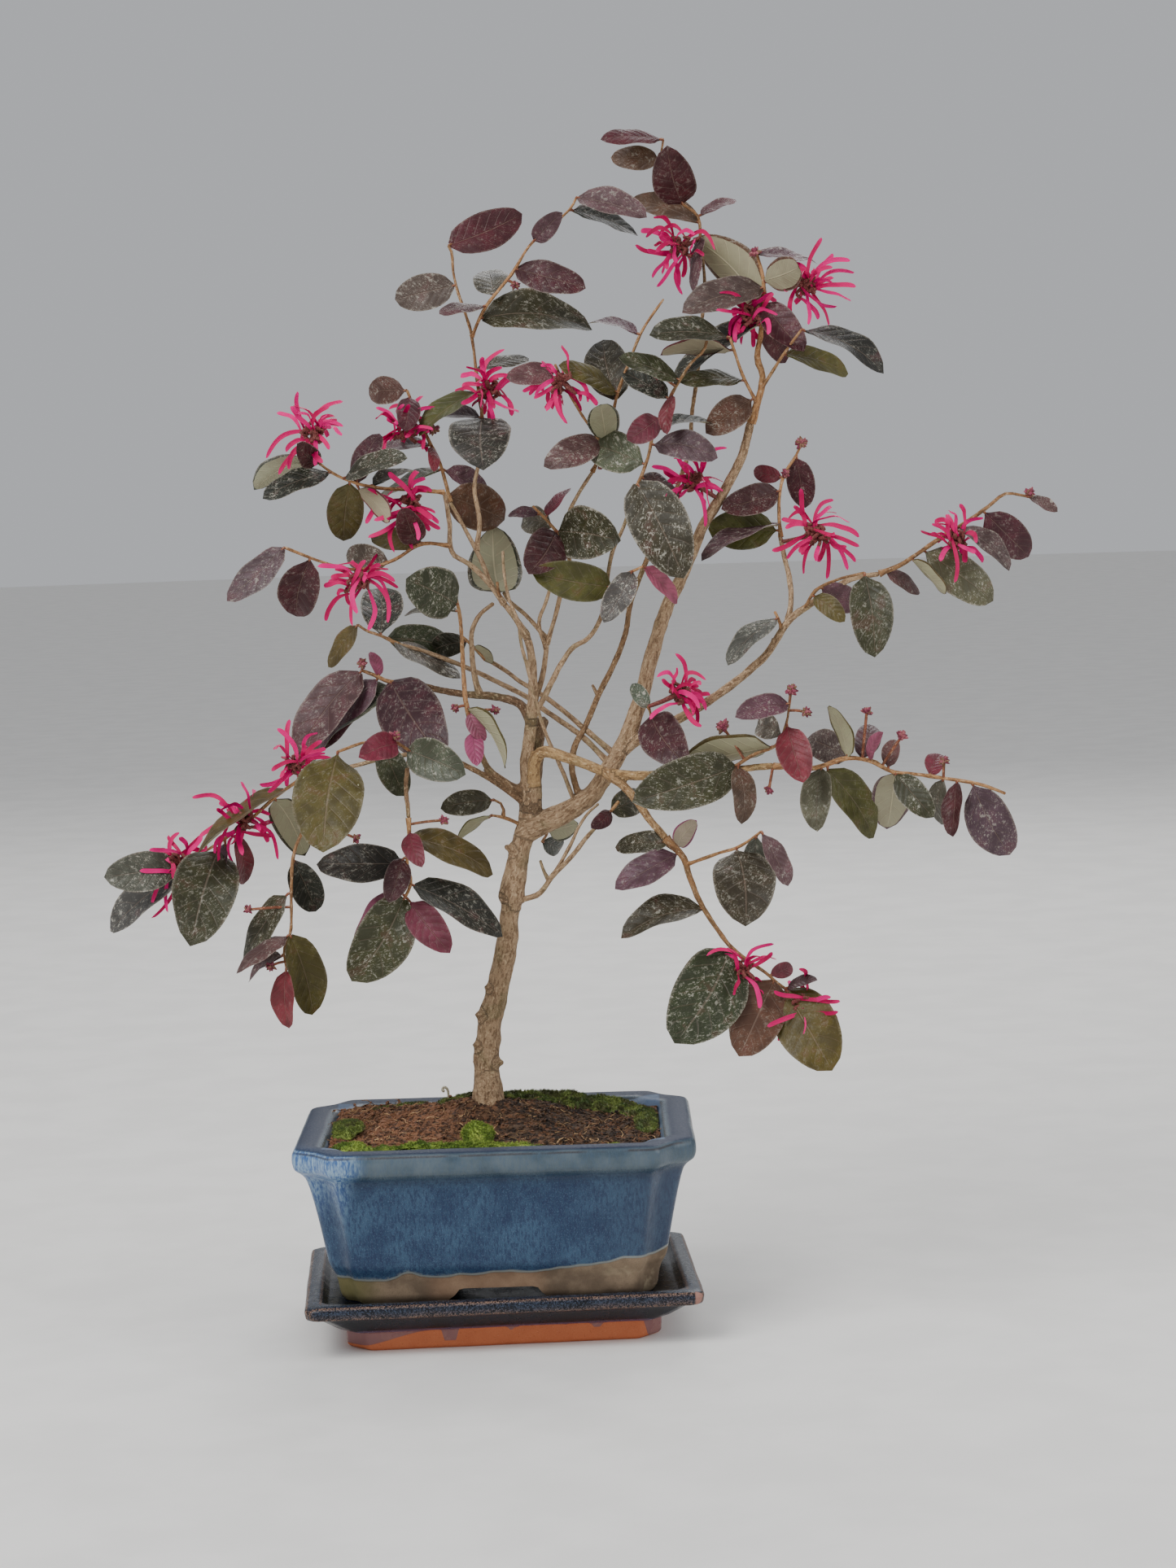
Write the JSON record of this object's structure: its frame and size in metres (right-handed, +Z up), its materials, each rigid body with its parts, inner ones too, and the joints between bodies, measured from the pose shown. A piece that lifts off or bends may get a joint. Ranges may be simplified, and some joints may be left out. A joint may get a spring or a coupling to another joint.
{
  "type": "flowering bonsai tree in glazed pot",
  "caption": "Loropetalum bonsai with a slim trunk, spreading leafy branches and strap-petalled magenta flowers, mossy soil in a blue glazed rectangular pot standing on a glazed drip tray",
  "frame": {"origin": "on the table under the middle of the drip tray", "axes": "+X along the long side of the pot towards the right of the picture, +Y away from the viewer, +Z up"},
  "size_m": [0.4219, 0.1426, 0.5256],
  "materials": {
    "pot_glaze": "glossy mottled blue glaze over bare tan clay at the foot",
    "tray_glaze": "dark speckled blue glaze over terracotta",
    "screen": "matt mesh",
    "soil": "rough, fibrous",
    "moss": "matt, fine-tufted",
    "bark": "rough, flaking",
    "leaf": "satin, mineral-speckled",
    "petal": "soft satin"
  },
  "bodies": {
    "root": {"arm_bend_shoot": "leaf", "arm_fork_shoot": "leaf", "back_left_shoot": "leaf", "centre_low_shoot": "leaf", "centre_shoot": "leaf", "centre_top_shoot": "leaf", "crossing_shoot": "leaf", "drain_screen_left": "screen", "drain_screen_right": "screen", "drip_tray": "tray_glaze", "drooping_shoot": "leaf", "drooping_side_shoot": "leaf", "far_left_shoot": "leaf", "far_right_shoot": "leaf", "flower_arm_fork": "petal", "flower_centre": "petal", "flower_centre_left": "petal", "flower_far_left": "petal", "flower_far_right": "petal", "flower_left_arch": "petal", "flower_left_bend": "petal", "flower_left_heart": "petal", "flower_left_low": "petal", "flower_left_peak": "petal", "flower_low_right": "petal", "flower_low_tip": "petal", "flower_right_peak": "petal", "flower_star": "petal", "flower_tall_left": "petal", "flower_top": "petal", "flower_upper_left": "petal", "flower_upper_right": "petal", "front_middle_shoot": "leaf", "front_shoot": "leaf", "hanging_left_shoot": "leaf", "heart_shoot": "leaf", "hub_shoot": "leaf", "left_outer_shoot": "leaf", "left_riser_shoot": "leaf", "left_shoot": "leaf", "left_top_shoot": "leaf", "low_right_shoot": "leaf", "moss_back_right": "moss", "moss_ball": "moss", "moss_front_edge": "moss", "moss_left": "moss", "pot": "pot_glaze", "right_middle_shoot": "leaf", "right_shoot": "leaf", "soil": "soil", "tall_left_shoot": "leaf", "top_shoot": "leaf", "trunk_and_branches": "bark", "trunk_back_shoot": "leaf", "trunk_side_shoot": "leaf", "under_shoot": "leaf", "upper_left_shoot": "leaf", "upper_right_shoot": "leaf"}
  },
  "joints": []
}
